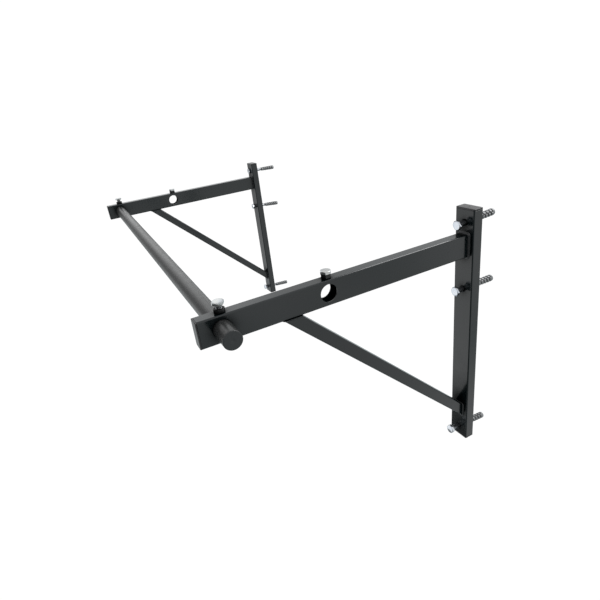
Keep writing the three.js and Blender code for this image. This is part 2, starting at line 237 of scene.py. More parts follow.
def drilled(mesh, holes, bevel):
    """Cuts round holes [(axis, centre, radius, half length)] and breaks their edges."""
    body = temp_object(mesh)
    tools = []
    for hole in holes:
        tool = temp_object(cylinder(*hole))
        cut = body.modifiers.new("cut", "BOOLEAN")
        cut.operation = "DIFFERENCE"
        cut.solver = "EXACT"
        cut.object = tool
        tools.append(tool)
    depsgraph = bpy.context.evaluated_depsgraph_get()
    depsgraph.update()
    data = bpy.data.meshes.new_from_object(body.evaluated_get(depsgraph))
    result = bmesh.new()
    result.from_mesh(data)
    bpy.data.meshes.remove(data)
    for tool in tools:
        drop(tool)
    drop(body)
    bmesh.ops.remove_doubles(result, verts=result.verts[:], dist=0.002)
    rims = []
    for edge in result.edges:
        if len(edge.link_faces) != 2:
            continue
        if not math.radians(60) < edge.calc_face_angle(0) < math.radians(120):
            continue
        if any(on_hole(edge, axis, centre, radius) for axis, centre, radius, _ in holes):
            rims.append(edge)
    if rims:
        bmesh.ops.bevel(result, geom=rims, offset=bevel, offset_type="OFFSET", segments=3,
                        profile=0.5, affect="EDGES", clamp_overlap=True)
    return result


def finish_piece(node, mesh, materials, sharp_angle, weighted=False):
    """Turns a bmesh in millimetres into the visible piece that stands for one CAD node."""
    bmesh.ops.recalc_face_normals(mesh, faces=mesh.faces[:])
    bmesh.ops.scale(mesh, vec=(MM, MM, MM), verts=mesh.verts[:])
    piece = to_object(mesh, node + "_finished")
    for material in materials:
        piece.data.materials.append(material)
    for polygon in piece.data.polygons:
        polygon.use_smooth = True
    piece.data.set_sharp_from_angle(angle=math.radians(sharp_angle))
    if weighted:
        modifier = piece.modifiers.new("flat faces stay flat", "WEIGHTED_NORMAL")
        modifier.mode = "FACE_AREA"
        modifier.weight = 60
        modifier.keep_sharp = True
    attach(piece, frame["nodes"][node]["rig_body"])
    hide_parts(node)


# ------------------------------------------------------------------ shader nodes
class Nodes:
    """A cleared node tree and the calls that fill it. Lengths are in metres."""

    def __init__(self, owner):
        owner.use_nodes = True
        self.tree = owner.node_tree
        self.tree.nodes.clear()

    def fill(self, node, inputs):
        """Links or sets inputs, given by name or number; a colour gets its alpha."""
        for key, value in inputs.items():
            socket = node.inputs[key]
            if isinstance(value, bpy.types.NodeSocket):
                self.tree.links.new(value, socket)
            elif socket.type == "RGBA" and len(value) == 3:
                socket.default_value = (*value, 1.0)
            else:
                socket.default_value = value

    def add(self, kind, inputs=None, **attributes):
        node = self.tree.nodes.new("ShaderNode" + kind)
        for key, value in attributes.items():
            setattr(node, key, value)
        self.fill(node, inputs or {})
        return node

    def object_coords(self):
        return self.add("TexCoord").outputs["Object"]

    def stretched(self, coords, scale):
        return self.add("Mapping", {"Vector": coords, "Scale": scale}).outputs["Vector"]

    def noise(self, coords, scale=1.0, detail=2.0, roughness=0.5, distortion=0.0):
        return self.add("TexNoise", {
            "Vector": coords, "Scale": scale, "Detail": detail, "Roughness": roughness,
            "Distortion": distortion}).outputs["Fac"]

    def remap(self, value, between, to=(0.0, 1.0)):
        return self.add("MapRange", {
            "Value": value, "From Min": between[0], "From Max": between[1],
            "To Min": to[0], "To Max": to[1]}).outputs["Result"]

    def math(self, operation, first, second):
        return self.add("Math", {0: first, 1: second}, operation=operation).outputs[0]

    def plus(self, value, extra):
        return self.math("ADD", value, extra)

    def times(self, value, factor):
        return self.math("MULTIPLY", value, factor)

    def linear(self, value, gain, offset):
        return self.plus(self.times(value, gain), offset)

    def dot(self, first, second):
        node = self.add("VectorMath", {0: first, 1: second}, operation="DOT_PRODUCT")
        return node.outputs["Value"]

    def mix(self, factor, first, second):
        return self.add("Mix", {0: factor, 6: first, 7: second}, data_type="RGBA",
                        clamp_factor=True).outputs[2]

    def patches(self, base, colour, pattern, between, to=(0.0, 1.0)):
        """Lays colour over base where the pattern is high."""
        return self.mix(self.remap(pattern, between, to), base, colour)

    def wash(self, base, colour, mask, strength):
        return self.mix(self.times(mask, strength), base, colour)

    def edge_mask(self, radius):
        """0 on flats, 1 along outside and inside edges of the mesh."""
        rounded = self.add("Bevel", {"Radius": radius}, samples=4).outputs[0]
        normal = self.add("NewGeometry").outputs["Normal"]
        off_flat = self.math("SUBTRACT", 1.0, self.dot(rounded, normal))
        return self.remap(off_flat, between=(0.015, 0.16))

    def occlusion(self, distance, samples=4, only_local=True):
        return self.add("AmbientOcclusion", {"Distance": distance}, samples=samples,
                        only_local=only_local).outputs["AO"]

    def painted_shade_openness(self, distance, between):
        """1 in the open, 0 deep in a corner between pieces: the mask that places painted shade."""
        return self.remap(self.occlusion(distance, samples=8, only_local=False), between)

    def bumps(self, *layers):
        """Bumps on top of one another, each a (height, distance)."""
        normal = None
        for height, distance in layers:
            node = self.add("Bump", {"Strength": 1.0, "Distance": distance, "Height": height})
            if normal is not None:
                self.fill(node, {"Normal": normal})
            normal = node.outputs["Normal"]
        return normal

    def principled(self, inputs):
        shader = self.add("BsdfPrincipled")
        self.add("OutputMaterial", {"Surface": shader.outputs[0]})
        self.fill(shader, inputs)

    def mix_shader(self, factor, first, second):
        return self.add("MixShader", {0: factor, 1: first, 2: second}).outputs[0]


def new_material(name):
    material = bpy.data.materials.new(name)
    return material, Nodes(material)


def scaled(colour, factor):
    return tuple(factor * c for c in colour)


# ------------------------------------------------------------------ materials
def powder_coat(name, dark, light, edge, roughness, peel, wave, sheen=0.5, painted_shade_range=(0.58, 0.90)):
    """Clouded coat, paler on its edges, partly as thin coat there and partly as a painted
    highlight; peel and wave are the fine and broad relief.

    Between the two painted_shade_range values of occlusion, colour and sheen are painted darker in
    corners between pieces, as painted shade, and rise to full in the open.
    """
    material, nodes = new_material(name)
    coords = nodes.object_coords()
    cloud = nodes.noise(coords, scale=7.0, detail=3.0, roughness=0.55)
    medium = nodes.noise(coords, scale=95.0, detail=3.0, roughness=0.6)
    fine = nodes.noise(coords, scale=720.0)
    speck = nodes.noise(coords, scale=1900.0, detail=1.0)
    base = nodes.patches(dark, light, cloud, between=(0.35, 0.65))
    base = nodes.patches(base, edge, speck, between=(0.62, 0.75), to=(0.0, 0.35))
    # paler edges: thin coat there, and a painted highlight along them
    edges = nodes.edge_mask(radius=0.0011)
    broken = nodes.times(edges, nodes.remap(medium, between=(0.42, 0.6), to=(0.25, 1.0)))
    base = nodes.wash(base, edge, broken, strength=0.55)
    # painted shade: the coat's colour and sheen darken in corners between pieces
    outside_painted_shade = nodes.painted_shade_openness(distance=0.034, between=painted_shade_range)
    base = nodes.mix(outside_painted_shade, scaled(dark, factor=0.35), base)
    specular = nodes.linear(outside_painted_shade, gain=sheen * 0.86, offset=sheen * 0.14)
    smudge = nodes.noise(nodes.stretched(coords, scale=(9.0, 9.0, 16.0)), detail=4.0,
                         roughness=0.6, distortion=0.6)
    rough = nodes.remap(smudge, between=(0.3, 0.7), to=roughness)
    rough = nodes.plus(rough, nodes.remap(medium, between=(0.3, 0.7), to=(-0.02, 0.03)))
    rough = nodes.plus(rough, nodes.times(broken, factor=0.08))
    swell = nodes.noise(coords, scale=26.0, detail=1.0, roughness=0.4)
    normal = nodes.bumps((swell, wave), (medium, peel * 1.6), (fine, peel))
    nodes.principled({"Base Color": base, "Roughness": rough, "Normal": normal, "IOR": 1.5,
                      "Specular IOR Level": specular})
    return material


def bar_coat(name):
    """Mottled coat with bands drawn out along the bar."""
    material, nodes = new_material(name)
    coords = nodes.object_coords()
    bands = nodes.noise(nodes.stretched(coords, scale=(1.6, 70.0, 70.0)), detail=4.0,
                        roughness=0.6)
    cloud = nodes.noise(coords, scale=70.0, detail=4.0, roughness=0.6, distortion=0.4)
    mottle = nodes.noise(coords, scale=210.0, detail=3.0, roughness=0.55, distortion=0.6)
    grain = nodes.noise(coords, scale=620.0, detail=3.0, roughness=0.6)
    base = nodes.patches((0.010, 0.0115, 0.011), (0.023, 0.0245, 0.024), bands,
                         between=(0.3, 0.7))
    for colour, pattern, between, to in (
            ((0.014, 0.0135, 0.014), cloud, (0.35, 0.7), (0.0, 0.6)),
            ((0.050, 0.050, 0.051), mottle, (0.55, 0.75), (0.0, 0.7)),
            ((0.060, 0.060, 0.060), grain, (0.58, 0.72), (0.0, 0.4))):
        base = nodes.patches(base, colour, pattern, between, to)
    edges = nodes.edge_mask(radius=0.0012)
    base = nodes.wash(base, (0.070, 0.070, 0.072), edges, strength=0.5)
    # painted shade: the bar's colour and sheen darken close to other pieces
    outside_painted_shade = nodes.painted_shade_openness(distance=0.018, between=(0.40, 0.80))
    base = nodes.mix(outside_painted_shade, (0.004, 0.004, 0.004), base)
    specular = nodes.linear(outside_painted_shade, gain=0.42, offset=0.08)
    # less sheen where the surface is seen edge on
    facing = nodes.add("LayerWeight", {"Blend": 0.5}).outputs["Facing"]
    specular = nodes.times(specular, nodes.remap(facing, between=(0.70, 0.97), to=(1.0, 0.30)))
    rough = nodes.remap(bands, between=(0.3, 0.7), to=(0.35, 0.23))
    rough = nodes.plus(rough, nodes.remap(cloud, between=(0.3, 0.7), to=(-0.04, 0.05)))
    normal = nodes.bumps((cloud, 0.00022), (mottle, 0.00012), (grain, 0.00004))
    nodes.principled({"Base Color": base, "Roughness": rough, "Normal": normal, "IOR": 1.5,
                      "Specular IOR Level": specular})
    return material


def zinc(name, brushing, cool, warm, dull, roughness, groove_shade_strength):
    """Plated metal, brushed along the axis of least noise scale, with painted shade in its
    grooves.
    """
    material, nodes = new_material(name)
    coords = nodes.object_coords()
    tint = nodes.noise(coords, scale=160.0, detail=3.0, roughness=0.55, distortion=0.8)
    brushed = nodes.noise(nodes.stretched(coords, brushing), detail=3.0, roughness=0.6)
    spots = nodes.noise(coords, scale=900.0, roughness=0.6)
    base = nodes.patches(cool, warm, tint, between=(0.35, 0.65))
    base = nodes.patches(base, dull, spots, between=(0.58, 0.72), to=(0.0, 0.45))
    # painted shade: darker, and rougher, in grooves and recesses
    groove_shade = nodes.remap(nodes.occlusion(distance=0.0026), between=(0.25, 0.9), to=(groove_shade_strength, 0.0))
    base = nodes.mix(groove_shade, base, (0.035, 0.037, 0.040))
    edges = nodes.edge_mask(radius=0.0005)
    base = nodes.wash(base, scaled(dull, factor=0.42), edges, strength=0.65)
    rough = nodes.remap(brushed, between=(0.3, 0.7), to=roughness)
    rough = nodes.plus(rough, nodes.times(groove_shade, factor=0.25))
    normal = nodes.bumps((brushed, 0.00004), (spots, 0.00002))
    nodes.principled({"Base Color": base, "Roughness": rough, "Normal": normal,
                      "Metallic": 1.0})
    return material


def moulded(name, dark, light, roughness, grain_scale, ribbed=False):
    """Grained plastic; a ribbed piece gets painted shade between its ribs."""
    material, nodes = new_material(name)
    coords = nodes.object_coords()
    cloud = nodes.noise(coords, scale=60.0, detail=3.0)
    grain = nodes.add("TexVoronoi", {"Scale": grain_scale, "Vector": coords})
    base = nodes.patches(dark, light, cloud, between=(0.3, 0.7))
    edges = nodes.edge_mask(radius=0.0006)
    base = nodes.wash(base, scaled(light, factor=2.4), edges, strength=0.5)
    rough = nodes.remap(cloud, between=(0.3, 0.7), to=roughness)
    if ribbed:
        # painted shade between the ribs
        base = nodes.patches(base, scaled(dark, factor=0.12), nodes.occlusion(distance=0.002),
                             between=(0.45, 0.95), to=(0.9, 0.0))
    normal = nodes.bumps((cloud, 0.0001), (grain.outputs["Distance"], 0.00002))
    nodes.principled({"Base Color": base, "Roughness": rough, "Normal": normal, "IOR": 1.48})
    return material


FRAME = powder_coat(
    "frame_powder_coat", dark=(0.0030, 0.0060, 0.0068), light=(0.0046, 0.0076, 0.0086),
    edge=(0.016, 0.018, 0.019), roughness=(0.13, 0.19), peel=0.000012, wave=0.00008)
# the weld's coat is paler than the frame's as painted light, lifting the bead's grey band
WELD = powder_coat(
    "coated_weld", dark=(0.0140, 0.0155, 0.0160), light=(0.0220, 0.0238, 0.0244),
    edge=(0.034, 0.036, 0.037), roughness=(0.28, 0.40), peel=0.00003, wave=0.00010,
    sheen=0.46, painted_shade_range=(0.28, 0.68))
NUT = powder_coat(
    "coated_nut", dark=(0.0028, 0.0031, 0.0033), light=(0.0042, 0.0046, 0.0048),
    edge=(0.010, 0.011, 0.011), roughness=(0.20, 0.30), peel=0.00002, wave=0.00006, sheen=0.42)
CAP = moulded(
    "cap_plastic", dark=(0.0085, 0.0080, 0.0086), light=(0.0125, 0.0120, 0.0128),
    roughness=(0.28, 0.36), grain_scale=1500.0)
PLUG = moulded(
    "plug_plastic", dark=(0.0100, 0.0125, 0.0135), light=(0.0140, 0.0168, 0.0178),
    roughness=(0.36, 0.46), grain_scale=1300.0)
NYLON = moulded(
    "wall_plug_nylon", dark=(0.120, 0.128, 0.132), light=(0.185, 0.192, 0.196),
    roughness=(0.24, 0.36), grain_scale=900.0, ribbed=True)
# a dark copy of the nylon for the plug's groove faces: painted shade in the grooves
NYLON_GROOVE_SHADE = moulded(
    "wall_plug_nylon_groove_painted_shade", dark=(0.014, 0.015, 0.016), light=(0.026, 0.027, 0.028),
    roughness=(0.50, 0.62), grain_scale=900.0)
BAR = bar_coat("bar_powder_coat")

ALONG_Z, ALONG_Y = (500.0, 500.0, 60.0), (500.0, 60.0, 500.0)
CLAMP_ZINC = zinc(
    "zinc_plate_clamp_bolt", ALONG_Z, cool=(0.47, 0.49, 0.51), warm=(0.58, 0.58, 0.56),
    dull=(0.26, 0.27, 0.28), roughness=(0.09, 0.19), groove_shade_strength=0.85)
LAG_ZINC = zinc(
    "zinc_plate_lag_screw", ALONG_Y, cool=(0.57, 0.61, 0.67), warm=(0.68, 0.70, 0.73),
    dull=(0.34, 0.37, 0.40), roughness=(0.10, 0.20), groove_shade_strength=0.80)
# darker copies of the same zinc plating for the threads and the lag shank: painted shade
CLAMP_THREAD_SHADED = zinc(
    "zinc_plate_clamp_thread_painted_shade", ALONG_Z, cool=(0.34, 0.36, 0.38), warm=(0.50, 0.50, 0.49),
    dull=(0.16, 0.17, 0.18), roughness=(0.20, 0.34), groove_shade_strength=1.0)
LAG_THREAD_SHADED = zinc(
    "zinc_plate_lag_thread_painted_shade", ALONG_Y, cool=(0.22, 0.23, 0.24), warm=(0.36, 0.37, 0.38),
    dull=(0.10, 0.105, 0.11), roughness=(0.22, 0.36), groove_shade_strength=1.0)
LAG_SHANK_ZINC_SHADED = zinc(
    "zinc_plate_lag_shank_painted_shade", ALONG_Y, cool=(0.21, 0.222, 0.235), warm=(0.29, 0.30, 0.315),
    dull=(0.14, 0.15, 0.16), roughness=(0.22, 0.34), groove_shade_strength=0.90)


# ------------------------------------------------------------------ tubes
def straight_tube(width, depth, length):
    """Along +Z from 0, both cut ends with broken edges."""
    outer_break, inner_break = 0.25, 0.18
    bore_size = (width - 2 * TUBE_WALL, depth - 2 * TUBE_WALL, TUBE_INNER_CORNER)
    outer = rounded_rect(width, depth, TUBE_CORNER)
    outer_end = inset_rect(width, depth, TUBE_CORNER, outer_break)
    bore = rounded_rect(*bore_size)
    bore_end = inset_rect(*bore_size, -inner_break)
    return lofted([
        level(outer, outer_break), level(outer, length - outer_break),
        level(outer_end, length), level(bore_end, length),
        level(bore, length - inner_break), level(bore, inner_break),
        level(bore_end, 0), level(outer_end, 0)], closed=True)


def wall_post(side, centre_x):
    node = side + "_wall_post"
    low, high = node_box(node)
    mesh = straight_tube(TUBE_LONG, TUBE_SHORT, high[2] - low[2])
    placed(mesh, shift(centre_x, (low[1] + high[1]) / 2, low[2]))
    holes = [("y", (centre_x, POST_Y, z), LAG_HOLE_RADIUS, 30) for z in LAG_Z.values()]
    finish_piece(node, drilled(mesh, holes, bevel=0.3), [FRAME],
                 sharp_angle=40, weighted=True)


def support_arm(side, centre_x):
    node = side + "_support_arm"
    low, high = node_box(node)
    mesh = straight_tube(TUBE_SHORT, TUBE_LONG, high[1] - low[1])
    placed(mesh, shift(centre_x, high[1], 0) @ turn("X", 90))
    holes = []
    for which, y in CROSS_HOLE_Y.items():
        bolt_y = box_middle(f"{side}_{which}_weld_nut")[1]
        holes.append(("x", (centre_x, y, 0), CROSS_HOLE_RADIUS, 30))
        holes.append(("z", (centre_x, bolt_y, ARM_TOP), BOLT_HOLE_RADIUS, 9))
    finish_piece(node, drilled(mesh, holes, bevel=0.2), [FRAME],
                 sharp_angle=40, weighted=True)


def diagonal_brace(side, centre_x):
    """Square tube mitred to the arm's underside and the post's front face."""
    cosine, sine = math.cos(BRACE_ANGLE), math.sin(BRACE_ANGLE)
    along = Vector((0, cosine, -sine))
    across = Vector((0, sine, cosine))      # towards the tube's upper side
    origin = Vector((centre_x, BRACE_TOP_Y, ARM_UNDERSIDE))

    def mitre(outline, axis, plane):
        """The outline slid along the brace until coordinate number axis equals plane."""
        points = []
        for x, y in outline:
            point = origin + Vector((x, 0, 0)) + across * y
            points.append(point + along * ((plane - point[axis]) / along[axis]))
        return points

    bore_side = TUBE_SHORT - 2 * TUBE_WALL
    outer = rounded_rect(TUBE_SHORT, TUBE_SHORT, TUBE_CORNER)
    bore = rounded_rect(bore_side, bore_side, TUBE_INNER_CORNER)
    at_arm = (2, ARM_UNDERSIDE - GAP)
    at_post = (1, POST_FRONT - GAP)
    mesh = lofted([mitre(outer, *at_arm), mitre(outer, *at_post),
                   mitre(bore, *at_post), mitre(bore, *at_arm)], closed=True)
    finish_piece(side + "_diagonal_brace", mesh, [FRAME],
                 sharp_angle=40, weighted=True)


# ------------------------------------------------------------------ weld beads
def weld_bead(width, depth, stretch, slant, seed, leg, ripple):
    """A rippled fillet bead round a tube's outline, standing on z = 0.

    The outline is stretched along y and leans along y by slant; ripple is the length of one.
    """
    samples_per_ripple, arc_points = 6, 9
    root, dip_depth = 0.1, 0.16
    outline = [(x, y * stretch) for x, y in rounded_rect(width, depth, TUBE_CORNER, steps=12)]
    count = len(outline)
    lengths, normals = [], []
    for (x0, y0), (x1, y1) in zip(outline, outline[1:] + outline[:1]):
        length = math.hypot(x1 - x0, y1 - y0)
        lengths.append(length)
        normals.append(((y1 - y0) / length, (x0 - x1) / length))
    total = sum(lengths)
    samples = max(8, round(total / ripple)) * samples_per_ripple
    loops = []
    edge, edge_start = 0, 0.0
    for sample in range(samples):
        travelled = total * sample / samples
        while edge_start + lengths[edge] < travelled - 1e-9:
            edge_start += lengths[edge]
            edge += 1
        (x0, y0), (x1, y1) = outline[edge], outline[(edge + 1) % count]
        part = (travelled - edge_start) / lengths[edge]
        x, y = x0 + (x1 - x0) * part, y0 + (y1 - y0) * part
        # outward normal, blended over neighbouring edges
        out_x = out_y = 0.0
        for offset, weight in ((-1, max(0.0, 0.5 - part)), (0, 1.0), (1, max(0.0, part - 0.5))):
            normal = normals[(edge + offset) % count]
            out_x += weight * normal[0]
            out_y += weight * normal[1]
        size = math.hypot(out_x, out_y)
        out_x, out_y = out_x / size, out_y / size
        swell = 1.0 + 0.10 * noise.noise(Vector((travelled * 0.07, seed * 7.3, 0.0)))
        section = [(root, root)]            # distance outwards, height
        for i in range(arc_points):
            place = i / (arc_points - 1)
            angle = place * math.pi / 2
            bow = math.sin(math.pi * place)
            phase = sample / samples_per_ripple + 0.42 * bow
            saw = phase - math.floor(phase)
            crest = (1.0 - saw) ** 0.8 if saw > 0.12 else saw / 0.12 * 0.9
            dip = dip_depth * (1.0 - crest) * bow ** 0.5
            hollow = 0.90 + 0.10 * (1 - math.sin(2 * angle))
            radius = leg * swell * (1.0 - dip) * hollow
            section.append((max(root, radius * math.cos(angle)),
                            root + radius * math.sin(angle)))
        loops.append([(x + out_x * out, y + out_y * out + slant * z, z) for out, z in section])
    return lofted(loops, closed=True)


def welds(side, centre_x, first_seed):
    arm = dict(width=TUBE_SHORT, depth=TUBE_LONG, leg=4.4, ripple=2.5)
    brace = dict(width=TUBE_SHORT, depth=TUBE_SHORT, leg=2.3, ripple=2.0)
    flatten = Matrix.Diagonal((1.0, 0.62, 1.0, 1.0))
    slope = math.tan(BRACE_ANGLE)
    # name, tube, stretch, slant, place
    beads = (
        ("arm", arm, 1.0, 0.0,
         shift(centre_x, POST_FRONT - 0.04, 0) @ flatten @ turn("X", 90)),
        ("brace_upper", brace, 1 / math.sin(BRACE_ANGLE), -1 / slope,
         shift(centre_x, BRACE_TOP_Y, ARM_UNDERSIDE) @ turn("X", 180)),
        ("brace_lower", brace, 1 / math.cos(BRACE_ANGLE), slope,
         shift(centre_x, POST_FRONT, BRACE_BOTTOM_Z) @ turn("X", 90)))
    for i, (name, tube, stretch, slant, place) in enumerate(beads):
        mesh = weld_bead(stretch=stretch, slant=slant, seed=first_seed + i, **tube)
        finish_piece(f"{side}_{name}_weld", placed(mesh, place), [WELD],
                     sharp_angle=60)


# ------------------------------------------------------------------ tube end caps
def tube_cap(width, depth, flange, edge, crown):
    """Flange from z = 0 up with a domed top, finned hollow plug below."""
    body = rounded_rect(width, depth, TUBE_CORNER)
    top = flange - crown
    edge_corner = max(TUBE_CORNER - edge, 0.6)
    loops = []
    # a shallow dimple in the middle of the top: radius, depth
    angles = [math.atan2(y, x) for x, y in body]
    for radius, sunk in ((0.7, 0.35), (1.1, 0.30), (1.6, 0.0)):
        loops.append([(radius * math.cos(a), radius * math.sin(a), flange - sunk)
                      for a in angles])
    dome_steps = 5
    for i in range(1, dome_steps + 1):
        part = i / dome_steps
        across, along = (width - 2 * edge) * part, (depth - 2 * edge) * part
        narrow = min(across, along)
        corner = min(edge_corner * part + (1 - part) * narrow * 0.45, narrow / 2 - 0.05)
        loops.append(level(rounded_rect(across, along, corner), top + crown * (1 - part * part)))
    edge_steps = 6
    for i in range(1, edge_steps + 1):
        angle = math.pi / 2 * i / edge_steps
        rest = 1 - math.sin(angle)
        inset = edge * rest
        corner = max(TUBE_CORNER - inset, edge_corner * rest + 0.4)
        loops.append(level(rounded_rect(width - 2 * inset, depth - 2 * inset, corner),
                           top - edge + edge * math.cos(angle)))
    loops.append(level(body, 0.15))
    loops.append(level(inset_rect(width, depth, TUBE_CORNER, 0.15), 0.0))
    # plug with soft fins all the way round, then its hollow: inset, z
    fin = 0.85
    profile = [
        (fin, 0.0), (fin, -2.0), (0.0, -2.5), (0.0, -3.1), (fin, -3.7), (fin, -5.4),
        (0.0, -5.9), (0.0, -6.5), (fin, -7.1), (fin, -8.8), (0.0, -9.3), (0.0, -9.9),
        (fin, -10.5), (fin, -12.9), (fin + 0.7, -CAP_PLUG_DEPTH),
        (fin + 1.3, -CAP_PLUG_DEPTH), (fin + 1.5, -CAP_PLUG_DEPTH + 0.4), (fin + 1.5, -1.0)]
    margin = 2 * TUBE_WALL + 2 * GAP
    for inset, z in profile:
        loops.append(level(inset_rect(width - margin, depth - margin, 1.1, inset), z))
    return lofted(loops)


def end_caps(side, centre_x):
    top = node_box(side + "_post_top_cap")[1][2] - POST_CAP["flange"]
    bottom = node_box(side + "_post_bottom_cap")[0][2] + POST_CAP["flange"]
    front = node_box(side + "_arm_end_cap")[0][1] + ARM_CAP["flange"]
    for name, size, place in (
            ("post_top", POST_CAP, shift(centre_x, POST_Y, top)),
            ("post_bottom", POST_CAP, shift(centre_x, POST_Y, bottom) @ turn("X", 180)),
            ("arm_end", ARM_CAP, shift(centre_x, front, 0) @ turn("X", 90))):
        finish_piece(f"{side}_{name}_cap", placed(tube_cap(**size), place), [CAP],
                     sharp_angle=50)


# ------------------------------------------------------------------ hexagons and threads
def hex_loop(across_flats, height, circle=math.inf):
    """Slightly blunted hexagon; outside the circle it falls away at 30 degrees."""
    blunt = 0.22
    points = []
    for i in range(HEX_POINTS):
        angle = 2 * math.pi * i / HEX_POINTS
        from_flat = ((angle + math.pi / 6) % (math.pi / 3)) - math.pi / 6
        radius = min(across_flats / 2 / math.cos(from_flat), across_flats / math.sqrt(3) - blunt)
        z = height - max(0.0, radius - circle) * math.tan(math.radians(30))
        points.append((radius * math.cos(angle), radius * math.sin(angle), z))
    return points


def add_ring(mesh, radius, z):
    return [mesh.verts.new(point) for point in ring(radius, z, THREAD_TURN)]


def extend(mesh, previous, stations, material=0):
    """Adds a ring for each (radius, z) and returns the last."""
    for radius, z in stations:
        following = add_ring(mesh, radius, z)
        strip(mesh, previous, following, material)
        previous = following
    return previous


def stitch(mesh, outer, inner):
    """Closes a flat ring between a loop of 3n points and a loop of n points."""
    count = len(inner)
    for j in range(count):
        k = (j + 1) % count
        mesh.faces.new((outer[3 * j], outer[3 * j + 1], outer[3 * j + 2],
                        outer[(3 * j + 3) % (3 * count)], inner[k], inner[j]))


def helical_rows(mesh, previous, radius_at, top, bottom, pitch, material=0):
    """Rows of points from top down to bottom, split along the helix so a crest is a true line.

    radius_at(z, turned) gives the radius, turned being the place in the pitch, 0 to 1.
    """
    step = pitch / THREAD_TURN
    rows = round((top - bottom) / step)
    for i in range(1, rows + 1):
        z = top - i * step if i < rows else bottom
        row = []
        for j in range(THREAD_TURN):
            part = j / THREAD_TURN
            radius = radius_at(z, (z / pitch - part) % 1.0)
            angle = 2 * math.pi * part
            row.append(mesh.verts.new((radius * math.cos(angle), radius * math.sin(angle), z)))
        for j in range(THREAD_TURN):
            k = (j + 1) % THREAD_TURN
            # previous is the upper row: the helix rises with the angle
            for corners in ((row[j], previous[k], previous[j]), (row[j], row[k], previous[k])):
                mesh.faces.new(corners).material_index = material
        previous = row
    return previous


def tooth(turned, pitch, crest, flank):
    """1 on the crest, 0 in the root; crest is its half width and flank the slope's, in mm."""
    distance = abs(((turned + 0.5) % 1.0) - 0.5) * pitch
    return min(1.0, max(0.0, 1.0 - (distance - crest) / flank))


def taper(z, table):
    """Linear interpolation in [(z, value)] with z falling."""
    if z >= table[0][0]:
        return table[0][1]
    for (z0, value0), (z1, value1) in zip(table, table[1:]):
        if z >= z1:
            return value0 + (value1 - value0) * (z0 - z) / (z0 - z1)
    return table[-1][1]


def thread(crests, roots, pitch, crest, flank):
    """Radius function of a thread between two taper tables."""
    def radius_at(z, turned):
        root = taper(z, roots)
        return root + (taper(z, crests) - root) * tooth(turned, pitch, crest, flank)
    return radius_at


def hex_head(mesh, height, washer, dome):
    """Head from z = 0 up to height. Returns the loop round its underside."""
    flats = HEAD_FLATS
    face = flats / 2 * 0.95
    shoulder = height - 1.06 * dome
    # top face: radius as a part of the face's, drop below the top
    top = [(0.16, 0.01), (0.40, 0.16 * dome), (0.66, 0.44 * dome), (0.86, 0.76 * dome),
           (0.965, dome), (1.005, 0.08 + 1.06 * dome)]
    loops = [ring(face * part, height - fall, HEX_POINTS) for part, fall in top]
    loops += [
        hex_loop(flats, shoulder - 0.06, circle=face),
        hex_loop(flats, shoulder - 0.46, circle=face + 0.05),
        hex_loop(flats, washer + 0.35), hex_loop(flats - 0.3, washer),
        ring(flats / 2 * 0.93, washer, HEX_POINTS), ring(flats / 2 * 0.92, 0.0, HEX_POINTS)]
    return loft(mesh, loops, cap_last=False)[-1]


# ------------------------------------------------------------------ fasteners
def clamp_bolt(side, which, centre_x):
    node = f"{side}_{which}_clamp_bolt"
    length = CLAMP_LENGTH[which]
    mesh = bmesh.new()
    underside = hex_head(mesh, CLAMP_HEAD, washer=0.35, dome=0.30)
    seat = add_ring(mesh, 6.35, 0.0)
    stitch(mesh, underside, seat)
    neck = extend(mesh, seat, ((6.05, -0.12), (5.68, -0.45), (5.55, -0.95)))
    radius_at = thread(
        crests=[(-0.95, 5.55), (-2.3, 5.94), (-length + 1.3, 5.94), (-length, 4.7)],
        roots=[(-0.95, 5.53), (-2.3, 4.92), (-length + 1.0, 4.92), (-length, 4.4)],
        pitch=CLAMP_PITCH, crest=0.13, flank=0.60)
    end = helical_rows(mesh, neck, radius_at, -0.95, -length, CLAMP_PITCH, material=1)
    mesh.faces.new(extend(mesh, end, [(4.0, -length)]))
    placed(mesh, shift(centre_x, box_middle(node)[1], node_box(node)[1][2] - CLAMP_HEAD))
    finish_piece(node, mesh, [CLAMP_ZINC, CLAMP_THREAD_SHADED], sharp_angle=32)


def leaning(side, which, centre_x, y):
    """Leaning place for a piece whose local +Z points out of the wall, its z = 0 at y."""
    tilt = LAG_SET[side][which][2]
    return (shift(centre_x, POST_Y, LAG_Z[which]) @ turn("X", tilt)
            @ shift(0, y - POST_Y, 0) @ turn("X", 90))


